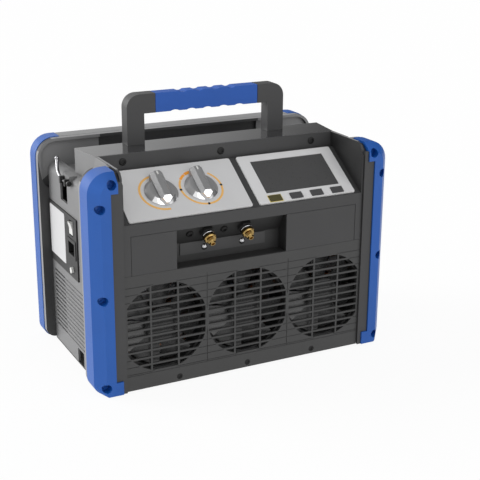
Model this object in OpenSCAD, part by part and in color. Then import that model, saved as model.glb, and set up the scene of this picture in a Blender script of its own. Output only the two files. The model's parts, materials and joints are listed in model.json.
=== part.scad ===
// Refrigerant recovery machine: a portable case with four corner guards, a carrying handle,
// a sloping console with two valve knobs and a display, two flare ports and three cooling fans.
// X runs to the right, Y to the back and Z up. The origin is on the floor under the middle.

/* [Overall] */
// Width across the corner guards
machine_w = 430; // [424:1:470]
// Depth across the corner guards
machine_d = 250; // [248:1:290]
// Height of the deck above the floor
deck_z = 295; // [292:1:330]
// Height of the rubber feet
foot_h = 3; // [2:1:12]

/* [Corner guards and shells] */
// Wall of the moulded shells
wall = 3; // [2.5:0.5:4]
// Thickness of a guard on the front and back faces
guard_t = 5; // [4:0.5:6]
// Thickness of a guard on the side and top faces
guard_side_t = 4; // [3:0.5:5]
// Depth of a guard along the side of the case
guard_d = 41; // [36:1:46]
// Width of a guard on the front face
guard_w = 25.5; // [24:0.5:30]
// Extra width of the tabs at the top and bottom of a guard
guard_tab_w = 9.5; // [5:0.5:10]
// Height of the top tab
guard_tab_top = 25; // [22:1:30]
// Height of the bottom tab
guard_tab_bottom = 18; // [13:1:22]
// Radius of the upper case corners seen from the front
corner_r = 27; // [22:1:32]
// Radius of the lower case corners seen from the front
base_r = 15; // [13:1:18]
// Chamfer of the guard on its front face
guard_chamfer_face = 12.5; // [8:0.5:14]
// Chamfer of the guard on its side face
guard_chamfer_side = 14; // [10:1:18]
// Chamfer of the rear guards
rear_chamfer = 3; // [2:1:4]
// Depth of the lip behind the front guards
lip_d = 7; // [5:1:10]
// Depth of the rear frame
rear_d = 35; // [34:1:45]
// Distance from the guard side to the side cover
cover_inset = 15; // [12:1:18]
// Radius of the shoulder along the top of a side cover
shoulder_r = 12; // [8:1:14]
// Height of the shoulder
shoulder_z = 262; // [260:1:270]
// Height of the valley floor behind the deck
valley_z = 255; // [252:1:258]
// Distance from the guard side to the deck edge
deck_inset = 31; // [30:1:34]
// Depth of the deck behind the front face
deck_d = 142; // [140:1:150]
// Thickness of the steel base plate
base_t = 2; // [1.5:0.5:3]
// Radius of the counterbore for a guard screw
guard_bore_r = 6; // [5:0.1:6.3]
// Radius of the boss round a guard screw
guard_boss_r = 8; // [7.5:0.5:8.5]

/* [Fans and grille] */
// Height of the fan centres
fan_z = 85; // [84:1:90]
// Depth of a fan frame
fan_d = 25; // [25:1:32]
// Distance from the guard side to the grille panel
grille_inset = 41; // [40:1:43]
// How far the outer fans reach beyond the grille panel
fan_overhang = 6; // [5:1:8]
// Height of the screw strip under the fan openings
strip_top = 24; // [23:1:27]
// Distance between the horizontal bars
bar_pitch = 9.9; // [8.6:0.1:10]
// Thickness of a bar
bar_t = 2.5; // [2:0.1:3]
// Distance from a fan centre to its upright bars
upright_x = 19; // [17:1:22]
// Half width of the divider between two openings
divider_half = 2.4; // [2:0.1:3]
// Diameter of a fan hub
hub_d = 47; // [44:1:50]
// Number of blades on a fan
blade_count = 7; // [5:1:9]
// Radius of a fan axle
axle_r = 3; // [2.5:0.5:4]

/* [Console] */
// Height of the front edge of the console
console_z = 226.8; // [225:0.1:228]
// Length of the console up its slope
console_len = 87.5; // [86:0.5:88]
// Tilt of the console from the horizontal
console_tilt = 33; // [32.5:0.1:33.2]
// Distance from the guard side to the console
tray_inset = 43; // [42:0.5:44]
// Bare margin of the console beside the plates
plate_side = 8; // [7:0.5:9]
// Thickness of the light console plates
plate_t = 2; // [1.5:0.5:3]
// Right edge of the valve plate
valve_x1 = 8; // [6:0.1:10]
// Left edge of the display plate
display_x0 = 18; // [16:0.1:20]
// Margin of the display plate beside the screen
lcd_side = 17; // [15:0.5:20]
// Height of the screen up the slope
lcd_h = 58; // [56:0.5:62]
// Distance of the screen from the front edge of the console
lcd_t = 18; // [18:0.5:20]
// Distance of the buttons from the front edge of the console
button_t = 8; // [7.5:0.5:9]
// Width of a button
button_w = 17.5; // [16:0.5:22]
// Height of a button up the slope
button_h = 9.5; // [7:0.5:10]
// Travel of a button
button_travel = 1.2; // [0.8:0.1:1.4]
// Distance between the two knobs
knob_pitch = 56; // [52:1:60]
// Distance of the knobs from the front edge of the console
knob_t = 43; // [41:1:45]
// Diameter of a knob
knob_d = 44; // [40:1:46]
// Height of the knob disc
knob_h = 5; // [4.5:0.5:7]
// Height of the grip bar above the knob disc
knob_bar_h = 8; // [6:0.5:9]
// Radius of a valve stem
stem_r = 4; // [3:0.5:5]

/* [Flare ports] */
// Left edge of the port recess
port_x0 = -102; // [-104:1:-98]
// Right edge of the port recess
port_x1 = 56.5; // [54:0.5:58]
// Bottom of the port recess
port_z0 = 160; // [158:1:162]
// Top of the port recess
port_z1 = 211; // [209:1:213]
// Depth of the lower part of the port recess
port_d = 22; // [21:1:24]
// Height at which the back wall of the recess starts to lean forward
port_bend_z = 186; // [184:1:187]
// Lean of the upper back wall
port_lean = 29; // [27:1:30]
// Position of the inlet port across the machine
port_x = -54; // [-56:1:-50]
// Distance between the two ports
port_pitch = 55; // [52:1:58]
// Radius of the 7/16 inch thread of a quarter inch flare port
flare_r = 5.55; // [5.5:0.05:7.95]
// Length of the threaded end
flare_len = 10; // [9:0.5:14]
// Radius of the brass barrel of a port
barrel_r = 8.5; // [8.2:0.1:9.5]

/* [Handle] */
// Width of the handle over its legs
handle_w = 234; // [220:1:245]
// Width of a leg
leg_w = 24.5; // [20:0.5:26]
// Depth of the handle
handle_d = 19; // [17:1:20]
// Height of the handle above the deck
handle_h = 67; // [62:1:80]
// Height of the handle bar
bar_h = 26; // [25:1:31]
// Distance from the front face of the case to the handle
handle_y = 123; // [121:1:123]
// Length of the soft grip
grip_w = 152; // [140:1:165]

/* [Side fittings] */
// Front edge of the power panel, from the front face
panel_y = 95; // [93:1:97]
// Distance from the power panel to the rear frame
panel_gap = 3; // [2:1:8]
// Lower edge of the power panel
panel_z0 = 126; // [124:1:128]
// Upper edge of the power panel
panel_z1 = 211; // [208:1:214]
// Number of louvres on a side cover
louvre_count = 14; // [10:1:14]
// Distance between the louvres
louvre_pitch = 6.2; // [5.8:0.1:6.4]
// Height of the lowest louvre
louvre_z = 29; // [27:1:32]
// Radius of the strap hook wire
hook_r = 2.2; // [1.8:0.1:2.5]
// Height of the strap hook pivot
hook_z = 256; // [254:1:257]

/* [Compressor] */
// Diameter of the motor
motor_d = 112; // [100:1:118]
// Length of the motor
motor_len = 70; // [64:1:74]
// Height of the motor axis
motor_z = 92; // [86:1:100]
// Radius of the motor shaft
shaft_r = 7; // [6:0.5:9]
// Bore of the cylinders
cylinder_d = 52; // [44:1:56]
// Length of a cylinder
cylinder_len = 46; // [40:1:52]

/* [Hidden] */
$fn = 48;
// Clearance between parts that only lie beside each other
gap = 0.3;
// Radial clearance of a running fit
run = 0.05;
// A small overlap that makes cuts pass through a face
eps = 0.5;

half_w = machine_w / 2;
guard_y = -machine_d / 2;
front_y = guard_y + guard_t;
back_y = machine_d / 2 - guard_t;
lip_y = guard_y + guard_d;
frame_back = lip_y + lip_d;
rear_y = machine_d / 2 - rear_d;
base_z = foot_h + base_t;
frame_x = half_w - guard_side_t;
frame_top = deck_z - guard_side_t;
cover_x = half_w - cover_inset;
cover_in = cover_x - wall;
deck_x = half_w - deck_inset;
deck_y1 = front_y + deck_d;
tray_x = half_w - tray_inset;
valve_x0 = -tray_x + plate_side;
display_x1 = tray_x - plate_side;
lcd_x = (display_x0 + display_x1) / 2;
lcd_w = display_x1 - display_x0 - 2 * lcd_side;
button_pitch = lcd_w * 9 / 32;
knob_mid_x = (valve_x0 + valve_x1) / 2;
sin_t = sin(console_tilt);
cos_t = cos(console_tilt);
console_y = front_y + wall;
console_y1 = console_y + console_len * cos_t;
console_z1 = console_z + console_len * sin_t;
strip_y = console_y1 + 6.6;
// Bare margin at the front and back of the console plates
plate_edge = 0.6;
knob_xs = [knob_mid_x - knob_pitch / 2, knob_mid_x + knob_pitch / 2];
port_xs = [port_x, port_x + port_pitch];
port_screw_xs = [port_x - port_pitch * 0.43, port_x + port_pitch * 0.46];
grille_x = half_w - grille_inset;
fan_pitch = (grille_x + fan_overhang) * 2 / 3;
fan_size = fan_pitch - 1;
opening_d = fan_pitch + 1;
fan_xs = [-fan_pitch, 0, fan_pitch];
flange_y = front_y + 2 * wall;
fan_y = flange_y;
flange_x = grille_x - 3;
grille_top = port_z0 - gap;
flange_top = port_z0 - 4;
// The fans seat on the flange by this much at their foot and top
fan_seat = 2;
fan_seat_z0 = fan_z - fan_size / 2 + fan_seat;
fan_seat_z1 = fan_z + fan_size / 2 - fan_seat;
screw_r = 1.75;
screw_head_r = 3.8;
strip_screw_x = tray_x - 32;
base_screw_x = fan_pitch * 5 / 6;
base_screw_z = (strip_top + foot_h) / 2 - 3.5;
// Half width of the band of plates beside the ports, and the groove round it
band_x = tray_x - plate_side;
groove = 0.8;
guard_screws_at = [[half_w - 27, deck_z - 14], [half_w - 12, deck_z - 43],
                   [half_w - 12, (deck_z + foot_h) / 2 - 15], [half_w - 13, foot_h + 12]];
// Seat of a guard screw, the end of its boss and the end of the post behind it
seat_y = front_y + 8;
boss_y = front_y + 11;
post_y = front_y + 20;
handle_front = front_y + handle_y;
leg_x = handle_w / 2;
power_y0 = front_y + panel_y;
power_y1 = rear_y - panel_gap;

shell_grey = [0.27, 0.27, 0.28];
panel_grey = [0.31, 0.31, 0.31];
guard_blue = [0.16, 0.36, 0.68];
plate_grey = [0.76, 0.76, 0.76];
black = [0.08, 0.08, 0.08];
steel = [0.62, 0.63, 0.65];
brass = [0.78, 0.6, 0.28];
copper = [0.72, 0.42, 0.27];

// A box between two corners
module slab(x0, x1, y0, y1, z0, z1) {
    translate([x0, y0, z0]) cube([x1 - x0, y1 - y0, z1 - z0]);
}

// A shape and its mirror image on the other side of the machine
module both_sides() {
    children();
    mirror([1, 0, 0]) children();
}

// A rod along Y from y0 to y1
module rod_y(r, x, z, y0, y1) {
    translate([x, y0, z]) rotate([-90, 0, 0]) cylinder(r = r, h = y1 - y0);
}

// A rod along X from x0 to x1
module rod_x(r, y, z, x0, x1) {
    translate([x0, y, z]) rotate([0, 90, 0]) cylinder(r = r, h = x1 - x0);
}

// A rod between two points
module rod_between(r, a, b) {
    d = b - a;
    l = norm(d);
    translate(a) rotate([0, acos(d[2] / l), atan2(d[1], d[0])]) cylinder(r = r, h = l);
}

// A pipe or wire through a list of points, with a ball at each corner that is a little thicker than the pipe
module pipe(r, points) {
    last = len(points) - 1;
    for (i = [0 : last - 1]) rod_between(r, points[i], points[i + 1]);
    for (i = [1 : 1 : last - 1]) translate(points[i]) sphere(r = r + gap);
}

// A profile in Y and Z, extruded across the machine
module across(x0, x1) {
    translate([x0, 0, 0]) rotate([90, 0, 90]) linear_extrude(x1 - x0) children();
}

// A block along Y with round corners seen from the front; its front edge is chamfered at the sides and the top
module case_block(hw, z0, z1, r, rb, y0, y1, chamfer_face, chamfer_side) {
    foot = max(rb - chamfer_face, wall);
    hull() for (sx = [-1, 1]) {
        rod_y(r - chamfer_face, sx * (hw - r), z1 - r, y0, y0 + chamfer_side, $fn = 32);
        rod_y(foot, sx * (hw - chamfer_face - foot), z0 + foot, y0, y0 + chamfer_side, $fn = 32);
        rod_y(r, sx * (hw - r), z1 - r, y0 + chamfer_side, y1, $fn = 32);
        rod_y(rb, sx * (hw - rb), z0 + rb, y0 + chamfer_side, y1, $fn = 32);
    }
}

// The outside of the guards, grown inwards by t on the faces that they cover, with a chamfer [face, side]
module guard_block(t_face, t_side, t_base, chamfer) {
    case_block(half_w - t_side, foot_h + t_base, deck_z - t_side, corner_r - t_side, base_r - t_side,
        guard_y + t_face, lip_y, chamfer[0], chamfer[1]);
}
front_cut = [guard_chamfer_face, guard_chamfer_side];
rear_cut = [rear_chamfer, rear_chamfer];

// The envelope of the front and rear frames, inside the guards
module frame_block(chamfer) {
    guard_block(guard_t, guard_side_t, base_t, chamfer);
}

// The part of a guard that shows: an upright with a tab at the top and the bottom
module guard_zone() {
    y0 = guard_y - eps;
    slab(half_w - guard_w, half_w + eps, y0, lip_y, foot_h - eps, deck_z + eps);
    inner = half_w - guard_w - guard_tab_w;
    slab(inner, half_w, y0, lip_y, deck_z - guard_tab_top, deck_z + eps);
    slab(inner, half_w, y0, lip_y, foot_h - eps, foot_h + guard_tab_bottom);
}

// A front guard on the right, with a boss inside for each screw
module guard(chamfer) {
    color(guard_blue) difference() {
        union() {
            difference() {
                intersection() {
                    guard_block(0, 0, 0, chamfer);
                    guard_zone();
                }
                guard_block(guard_t - gap, guard_side_t - gap, base_t - gap, chamfer);
            }
            intersection() {
                guard_block(0, 0, 0, chamfer);
                for (p = guard_screws_at) rod_y(guard_boss_r, p[0], p[1], guard_y, boss_y - gap);
            }
        }
        for (p = guard_screws_at) {
            rod_y(guard_bore_r, p[0], p[1], guard_y - eps, seat_y);
            rod_y(screw_r + run, p[0], p[1], guard_y, post_y);
        }
    }
}

// The rear guards are the front ones turned to the back and cut to the depth of the rear frame
module rear_guard() {
    rotate([0, 0, 180]) mirror([1, 0, 0]) intersection() {
        guard(rear_cut);
        slab(0, half_w + 1, guard_y - 1, guard_y + rear_d - 9, 0, deck_z + 1);
    }
}

module guard_front_right() guard(front_cut);
module guard_front_left() mirror([1, 0, 0]) guard(front_cut);
module guard_rear_right() rear_guard();
module guard_rear_left() mirror([1, 0, 0]) rear_guard();

// Posts of the front and rear frames behind the guard screws, grown by t
module guard_posts(t, y0, y1) {
    both_sides() for (p = guard_screws_at) rod_y(guard_boss_r + t, p[0], p[1], y0, y1);
}

// Pockets for the bosses of the guards and holes for their screws
module guard_post_holes() {
    guard_posts(gap, guard_y, boss_y);
    both_sides() for (p = guard_screws_at) rod_y(screw_r + run, p[0], p[1], guard_y, post_y - 1);
}

// A pan head screw along +Y with its head against the face at y
module screw_y(x, y, z, head_h, length) {
    rod_y(screw_head_r, x, z, y - head_h, y);
    rod_y(screw_r, x, z, y - eps, y + length);
}

module guard_screws() {
    color(black) for (turn = [0, 180]) rotate([0, 0, turn]) both_sides() for (p = guard_screws_at)
        screw_y(p[0], seat_y, p[1], 2, 10);
}

// The profile of the console tray: a slope, a ledge and the upright strip behind it
module console_profile(drop) {
    polygon([[console_y, console_z - drop / cos_t], [console_y1 + drop * tan(console_tilt / 2), console_z1 - drop],
        [strip_y + drop, console_z1 - drop], [strip_y + drop, deck_z], [strip_y, deck_z],
        [strip_y, console_z1], [console_y1, console_z1], [console_y, console_z]]);
}

// Everything above the console slope
module console_pocket() {
    across(-tray_x, tray_x) polygon([[guard_y - eps, console_z], [console_y, console_z],
        [console_y1, console_z1], [strip_y, console_z1], [strip_y, deck_z + eps], [guard_y - eps, deck_z + eps]]);
}

// Puts a shape on the console: X across, Y up the slope and Z out of it
module on_console() {
    translate([0, console_y, console_z]) rotate([console_tilt, 0, 0]) children();
}

module console_tray() {
    across(-tray_x - wall, tray_x + wall) console_profile(wall);
    both_sides() across(tray_x, tray_x + wall) polygon([[console_y, console_z - wall],
        [console_y1, console_z1 - wall], [strip_y + wall, console_z1 - wall], [strip_y + wall, deck_z],
        [console_y + 12, deck_z], [console_y + 4, deck_z - 3], [console_y, deck_z - 9]]);
}

module front_frame() {
    rim = 6;
    color(shell_grey) difference() {
        union() {
            difference() {
                union() {
                    frame_block(front_cut);
                    case_block(half_w - 1, base_z, deck_z - 1, corner_r - 1, base_r - 1, lip_y, frame_back, 0, 1);
                }
                case_block(frame_x - wall, base_z + wall, frame_top - wall, corner_r - guard_side_t - wall,
                    base_r - guard_side_t - wall, front_y + wall, frame_back + eps, guard_chamfer_face - 1,
                    guard_chamfer_side - 1);
            }
            intersection() {
                frame_block(front_cut);
                guard_posts(wall, front_y, post_y);
            }
            both_sides() slab(grille_x + gap, half_w - guard_w - gap, front_y - wall, front_y,
                foot_h + guard_tab_bottom + gap, deck_z - guard_tab_top - gap);
            both_sides() slab(grille_x + gap, half_w - guard_w - guard_tab_w - gap, front_y - wall, front_y, foot_h,
                deck_z - 11);
            slab(-half_w + guard_w, half_w - guard_w, front_y + wall, flange_y, foot_h + guard_tab_bottom, flange_top);
            slab(-flange_x, flange_x, front_y + wall, flange_y, base_z + wall, fan_seat_z0);
            console_tray();
        }
        console_pocket();
        slab(-grille_x - gap, grille_x + gap, guard_y, front_y + wall, foot_h - 1, grille_top + gap);
        slab(-flange_x, flange_x, front_y, flange_y + eps, fan_seat_z0, fan_seat_z1);
        slab(port_x0, port_x1, guard_y, front_y + wall + eps, port_z0, port_z1);
        difference() {
            slab(-band_x, band_x, front_y - eps, front_y + groove, port_z0 - eps, port_z1 + groove);
            slab(-band_x + groove, band_x - groove, front_y - 1, front_y + 1, port_z0 - 1, port_z1);
        }
        on_console() slab(lcd_x - lcd_w / 2 - rim, lcd_x + lcd_w / 2 + rim, button_t - button_h / 2 - 1,
            lcd_t + lcd_h + 2, -2 * wall, eps);
        on_console() for (x = knob_xs) translate([x, knob_t, -3 * wall]) cylinder(r = stem_r + gap, h = 4 * wall);
        guard_post_holes();
        for (x = [-1, 0, 1]) {
            rod_y(screw_r + run, x * base_screw_x, base_screw_z, front_y, flange_y + eps);
            rod_y(screw_r + run, x * strip_screw_x, deck_z - 10, strip_y - eps, strip_y + wall + eps);
        }
    }
}

// The slots of one fan opening: rows between the bars, split by two uprights
module fan_slots(x) {
    rows = floor(opening_d / bar_pitch);
    right = min(fan_pitch / 2 - divider_half, grille_x - 3 - x);
    left = min(fan_pitch / 2 - divider_half, grille_x - 3 + x);
    intersection() {
        rod_y(opening_d / 2, x, fan_z, front_y - eps, front_y + wall + eps);
        for (i = [0 : rows - 1]) {
            z = fan_z + (i - rows / 2) * bar_pitch;
            for (span = [[-left, -upright_x - bar_t / 2], [-upright_x + bar_t / 2, upright_x - bar_t / 2],
                         [upright_x + bar_t / 2, right]])
                slab(x + span[0], x + span[1], front_y - 1, front_y + wall + 1, z + bar_t / 2, z + bar_pitch - bar_t / 2);
        }
    }
}

// Shallow lines that carry the bars and the dividers on into the corners of the fan fields
module fan_lines() {
    rows = floor(opening_d / bar_pitch);
    difference() {
        union() {
            for (i = [0 : rows]) {
                z = fan_z + (i - rows / 2) * bar_pitch;
                slab(-grille_x - 1, grille_x + 1, front_y - eps, front_y + groove, z - groove / 2, z + groove / 2);
            }
            for (x = [-fan_pitch / 2, fan_pitch / 2])
                slab(x - groove / 2, x + groove / 2, front_y - eps, front_y + groove, strip_top, 2 * fan_z - strip_top + 3);
        }
        for (x = fan_xs) rod_y(opening_d / 2 + 1, x, fan_z, front_y - 1, front_y + wall);
    }
}

module front_grille() {
    color(panel_grey) difference() {
        slab(-grille_x, grille_x, front_y, front_y + wall, foot_h, grille_top);
        for (x = fan_xs) fan_slots(x);
        fan_lines();
        slab(-grille_x - 1, grille_x + 1, front_y - eps, front_y + 0.6, strip_top - 1, strip_top);
        for (x = [-1, 0, 1]) {
            rod_y(screw_head_r + gap, x * base_screw_x, base_screw_z, front_y - eps, front_y + 1.5);
            rod_y(screw_r + run, x * base_screw_x, base_screw_z, front_y, front_y + wall + eps);
        }
    }
}

module front_screws() {
    color(black) {
        for (x = [-1, 0, 1]) {
            screw_y(x * base_screw_x, front_y + 1.5, base_screw_z, 1.5, 2 * wall - 1.5);
            screw_y(x * strip_screw_x, strip_y, deck_z - 10, 1.5, wall + 2);
        }
        for (x = port_screw_xs) on_port(x) {
            cylinder(r = screw_head_r, h = 2);
            translate([0, 0, -3]) cylinder(r = screw_r, h = 4);
        }
    }
}

// Rounded shoulder profile of a side cover, seen from the front
module cover_profile() {
    r = shoulder_r;
    difference() {
        union() {
            translate([cover_in, base_z]) square([wall, shoulder_z - r - base_z]);
            translate([deck_x + gap, shoulder_z - wall]) square([cover_x - r - deck_x - gap, wall]);
            intersection() {
                translate([cover_x - r, shoulder_z - r]) circle(r = r);
                translate([cover_x - r, shoulder_z - r]) square(r);
            }
        }
        translate([cover_x - r, shoulder_z - r]) circle(r = r - wall);
    }
}

// Notch for the fingers at the foot of a side cover
lift_y = front_y + 90;
lift_w = 24;
lift_h = 20;

// A side cover on the right: a curved shell with louvres and a strap slot
module side_cover() {
    color(shell_grey) difference() {
        translate([0, rear_y - gap, 0]) rotate([90, 0, 0])
            linear_extrude(rear_y - frame_back - 2 * gap) cover_profile();
        for (i = [0 : louvre_count - 1]) translate([0, 0, louvre_z + i * louvre_pitch]) {
            slab(cover_in - 1, cover_x + 1, rear_y - 50, rear_y - 9, 0, louvre_pitch / 2);
            slab(cover_x - 1, cover_x + 1, frame_back + 12, rear_y - 50, 0, louvre_pitch / 2);
        }
        slab(cover_in - 1, cover_x + 1, hook_y0 + 18, hook_y0 + 46, hook_z - 33, hook_z - 6);
        slab(cover_in - 1, cover_x + 1, lift_y, lift_y + lift_w, base_z - 1, base_z + lift_h);
    }
}

module side_cover_right() side_cover();

module side_cover_left() {
    color(shell_grey) difference() {
        mirror([1, 0, 0]) side_cover();
        slab(-cover_x - 1, -cover_in + 1, power_y0 + 5, power_y1 - 5, panel_z0 + 5, panel_z1 - 5);
    }
}

// The deck around the console and the valley behind it
module top_cover() {
    color(shell_grey) difference() {
        union() {
            slab(-deck_x, deck_x, frame_back + gap, deck_y1, shoulder_z - wall - 8, deck_z);
            slab(-deck_x, deck_x, deck_y1 - eps, rear_y - gap, valley_z - wall, shoulder_z);
        }
        slab(-deck_x + wall, deck_x - wall, frame_back - 1, deck_y1 - wall, 0, deck_z - wall);
        slab(-deck_x + wall, deck_x - wall, deck_y1, rear_y + 1, valley_z, deck_z);
        slab(-tray_x - wall - gap, tray_x + wall + gap, frame_back - 1, strip_y + wall + gap, 0, deck_z + 1);
        for (x = [-1, 0, 1]) rod_y(screw_r + gap, x * strip_screw_x, deck_z - 10, strip_y, strip_y + 12);
        both_sides() for (dx = [-6, 6]) translate([leg_x - leg_w / 2 + dx, handle_front + handle_d / 2, 0])
            cylinder(r = 2.6, h = deck_z + 1);
    }
}

module rear_frame() {
    scoop_x = 124;
    color(shell_grey) difference() {
        union() {
            rotate([0, 0, 180]) intersection() {
                frame_block(rear_cut);
                slab(-half_w, half_w, guard_y, guard_y + rear_d - 9, 0, deck_z);
            }
            case_block(half_w - 1, base_z, deck_z - 1, corner_r - 1, base_r - 1, rear_y, rear_y + 9, 0, 1);
        }
        difference() {
            case_block(frame_x - wall, base_z + wall, frame_top - wall, corner_r - guard_side_t - wall,
                base_r - guard_side_t - wall, rear_y + 14, machine_d, 0, 1);
            rotate([0, 0, 180]) guard_posts(wall, guard_y, 0);
        }
        slab(-cover_in + 6, cover_in - 6, rear_y - 1, rear_y + 16, base_z + wall, valley_z - 2 * wall);
        case_block(half_w - 5, shoulder_z - 40, deck_z - 5, corner_r - 5, corner_r - 5, rear_y - eps, rear_y + 6, 0, 1);
        slab(-scoop_x, scoop_x, rear_y, rear_y + 11, valley_z + 4, deck_z - 5);
        rotate([0, 0, 180]) guard_post_holes();
    }
}

// Air intake panel at the back: rows of slots in three fields
module rear_grille() {
    rows = 14;
    vent_z0 = 40;
    pitch = (panel_z1 - 33 - vent_z0) / rows;
    hw = frame_x - wall - gap;
    shown = half_w - guard_w - guard_tab_w;
    field = 2 * shown / 3;
    color(panel_grey) difference() {
        intersection() {
            case_block(hw, base_z + wall + gap, frame_top - wall - gap, corner_r - guard_side_t - wall - gap,
                base_r - guard_side_t - wall - gap, back_y - wall, back_y, 0, 1);
            slab(-shown, shown, 0, machine_d, 0, deck_z);
        }
        rotate([0, 0, 180]) guard_posts(wall + gap, guard_y, 0);
        for (i = [0 : rows - 1], x = [-1, 0, 1])
            translate([x * field, 0, vent_z0 + i * pitch])
                slab(-field / 2 + 10, field / 2 - 10, back_y - wall - 1, back_y + 1, 0, pitch / 2);
    }
}

// The places of the four feet
foot_x = half_w - 75;
foot_y = 66;
module at_feet() {
    for (x = [-foot_x, foot_x], y = [-foot_y, foot_y]) translate([x, y, 0]) children();
}

// Steel tray that carries everything, with tongues under the front and rear frames
module base_plate() {
    tongue = half_w - guard_w - guard_tab_w - 2;
    color(steel) difference() {
        union() {
            slab(-cover_x, cover_x, frame_back, rear_y, foot_h, base_z);
            slab(-tongue, tongue, front_y + wall + gap, back_y - wall - gap, foot_h, base_z);
        }
        at_feet() cylinder(r = 2.5, h = 20);
    }
}

module rubber_feet() {
    color(black) at_feet() rotate_extrude() {
        polygon([[0, 0], [10, 0], [12, 1], [13, foot_h], [2.4, foot_h], [2.4, base_z], [4, base_z + 1.5],
            [2, base_z + 4], [0, base_z + 4]]);
    }
}

// Front view of the handle with round outer corners
module handle_outline() {
    r = 18;
    difference() {
        union() {
            translate([-leg_x, 0]) square([handle_w, handle_h - r]);
            translate([-leg_x + r, 0]) square([handle_w - 2 * r, handle_h]);
            for (x = [-leg_x + r, leg_x - r]) translate([x, handle_h - r]) circle(r = r);
        }
        translate([-leg_x + leg_w, -1]) square([handle_w - 2 * leg_w, handle_h - bar_h + 1]);
    }
}

module handle_frame() {
    core = 5;
    top = deck_z + handle_h;
    color(shell_grey) difference() {
        translate([0, handle_front + handle_d, deck_z]) rotate([90, 0, 0]) linear_extrude(handle_d) handle_outline();
        difference() {
            slab(-grip_w / 2 - gap, grip_w / 2 + gap, handle_front - 1, handle_front + handle_d + 1, top - bar_h - 1, top + 1);
            slab(-grip_w, grip_w, handle_front + core, handle_front + handle_d - core, top - bar_h + core, top - core);
        }
        both_sides() for (dx = [-6, 6]) translate([leg_x - leg_w / 2 + dx, handle_front + handle_d / 2, deck_z - 1])
            cylinder(r = 2 + run, h = 16);
    }
}

// Soft sleeve round the handle bar, with finger dips along its top
module handle_grip() {
    core = 5 - gap;
    top = deck_z + handle_h;
    dip_pitch = 24;
    color(guard_blue) difference() {
        slab(-grip_w / 2, grip_w / 2, handle_front, handle_front + handle_d, top - bar_h, top);
        slab(-grip_w, grip_w, handle_front + core, handle_front + handle_d - core, top - bar_h + core, top - core);
        for (i = [-1.5 : 1 : 1.5]) rod_y(10, i * dip_pitch, top + 8.2, handle_front - 1, handle_front + handle_d + 1);
        for (i = [-2 : 1 : 2]) rod_y(14, i * dip_pitch, top - bar_h - 12.4, handle_front - 1, handle_front + handle_d + 1);
    }
}

module handle_bolts() {
    color(steel) both_sides() for (dx = [-6, 6])
        translate([leg_x - leg_w / 2 + dx, handle_front + handle_d / 2, deck_z - wall]) {
            translate([0, 0, -4]) cylinder(r = 4, h = 4);
            translate([0, 0, -1]) cylinder(r = 2, h = 15);
        }
}

// A console plate with round corners
module console_plate(x0, x1) {
    r = 3;
    translate([0, 0, run]) linear_extrude(plate_t - run) union() {
        translate([x0 + r, plate_edge]) square([x1 - x0 - 2 * r, console_len - 2 * plate_edge]);
        translate([x0, plate_edge + r]) square([x1 - x0, console_len - 2 * plate_edge - 2 * r]);
        for (x = [x0 + r, x1 - r], y = [plate_edge + r, console_len - plate_edge - r]) translate([x, y]) circle(r = r);
    }
}

module valve_panel() {
    color(plate_grey) on_console() difference() {
        console_plate(valve_x0, valve_x1);
        for (x = knob_xs) translate([x, knob_t, -1]) cylinder(r = stem_r + gap, h = plate_t + 2);
    }
}

// Places of the four buttons across the machine
button_xs = [for (i = [-1.5 : 1 : 1.5]) lcd_x + i * button_pitch];

module display_panel() {
    color(plate_grey) on_console() difference() {
        console_plate(display_x0, display_x1);
        slab(lcd_x - lcd_w / 2, lcd_x + lcd_w / 2, lcd_t, lcd_t + lcd_h, -1, plate_t + 1);
        for (x = button_xs) slab(x - button_w / 2 - gap, x + button_w / 2 + gap, button_t - button_h / 2 - gap,
            button_t + button_h / 2 + gap, -1, plate_t + 1);
    }
}

// Glass of the display in a shallow housing that lies on the board
module lcd_screen() {
    color([0.2, 0.2, 0.2]) on_console() union() {
        slab(lcd_x - lcd_w / 2 + gap, lcd_x + lcd_w / 2 - gap, lcd_t + gap, lcd_t + lcd_h - gap, -wall, plate_t - 0.6);
    }
}

module display_board() {
    color([0.05, 0.3, 0.15]) on_console()
        slab(display_x0 + 4, display_x1 - 4, 2, console_len - 5, -wall - 1.6, -wall);
}

// A push button with a retaining flange under the plate
module button(x) {
    color(black) on_console() {
        slab(x - button_w / 2, x + button_w / 2, button_t - button_h / 2, button_t + button_h / 2, -eps, plate_t + 1.5);
        slab(x - button_w / 2 - 1, x + button_w / 2 + 1, button_t - button_h / 2, button_t + button_h / 2 + 1,
            button_travel + 0.3 - wall, 0);
    }
}

module button_menu() button(button_xs[0]);
module button_up() button(button_xs[1]);
module button_down() button(button_xs[2]);
module button_start() button(button_xs[3]);

// A valve knob: a low dished disc with a grip bar that slopes at its lower end
module knob(x) {
    r = knob_d / 2;
    lift = plate_t + gap;
    color(steel) on_console() translate([x, knob_t, lift]) difference() {
        union() {
            rotate_extrude() polygon([[0, 0], [r, 0], [r, 0.8], [r - 2.5, knob_h], [r - 4.5, knob_h - 0.6],
                [0, knob_h - 1.5]]);
            across(-5, 5) polygon([[-r + 2, 1], [r - 2, 1], [r + 4, knob_h], [r + 4, knob_h + knob_bar_h],
                [-r + 6, knob_h + knob_bar_h]]);
        }
        translate([0, 0, -1]) cylinder(r = stem_r + run, h = stem_top - lift + gap + 1);
    }
}

module inlet_knob() knob(knob_xs[0]);
module outlet_knob() knob(knob_xs[1]);

// Manifold: depth of its top below the console and its own height
manifold_top = 8;
manifold_h = 22;
// Height of the valve stems above the console
stem_top = plate_t + 5;

module valve_stem(x) {
    color(brass) on_console() translate([x, knob_t, -manifold_top - 18]) cylinder(r = stem_r, h = manifold_top + 18 + stem_top);
}

module inlet_valve_stem() valve_stem(knob_xs[0]);
module outlet_valve_stem() valve_stem(knob_xs[1]);

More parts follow.
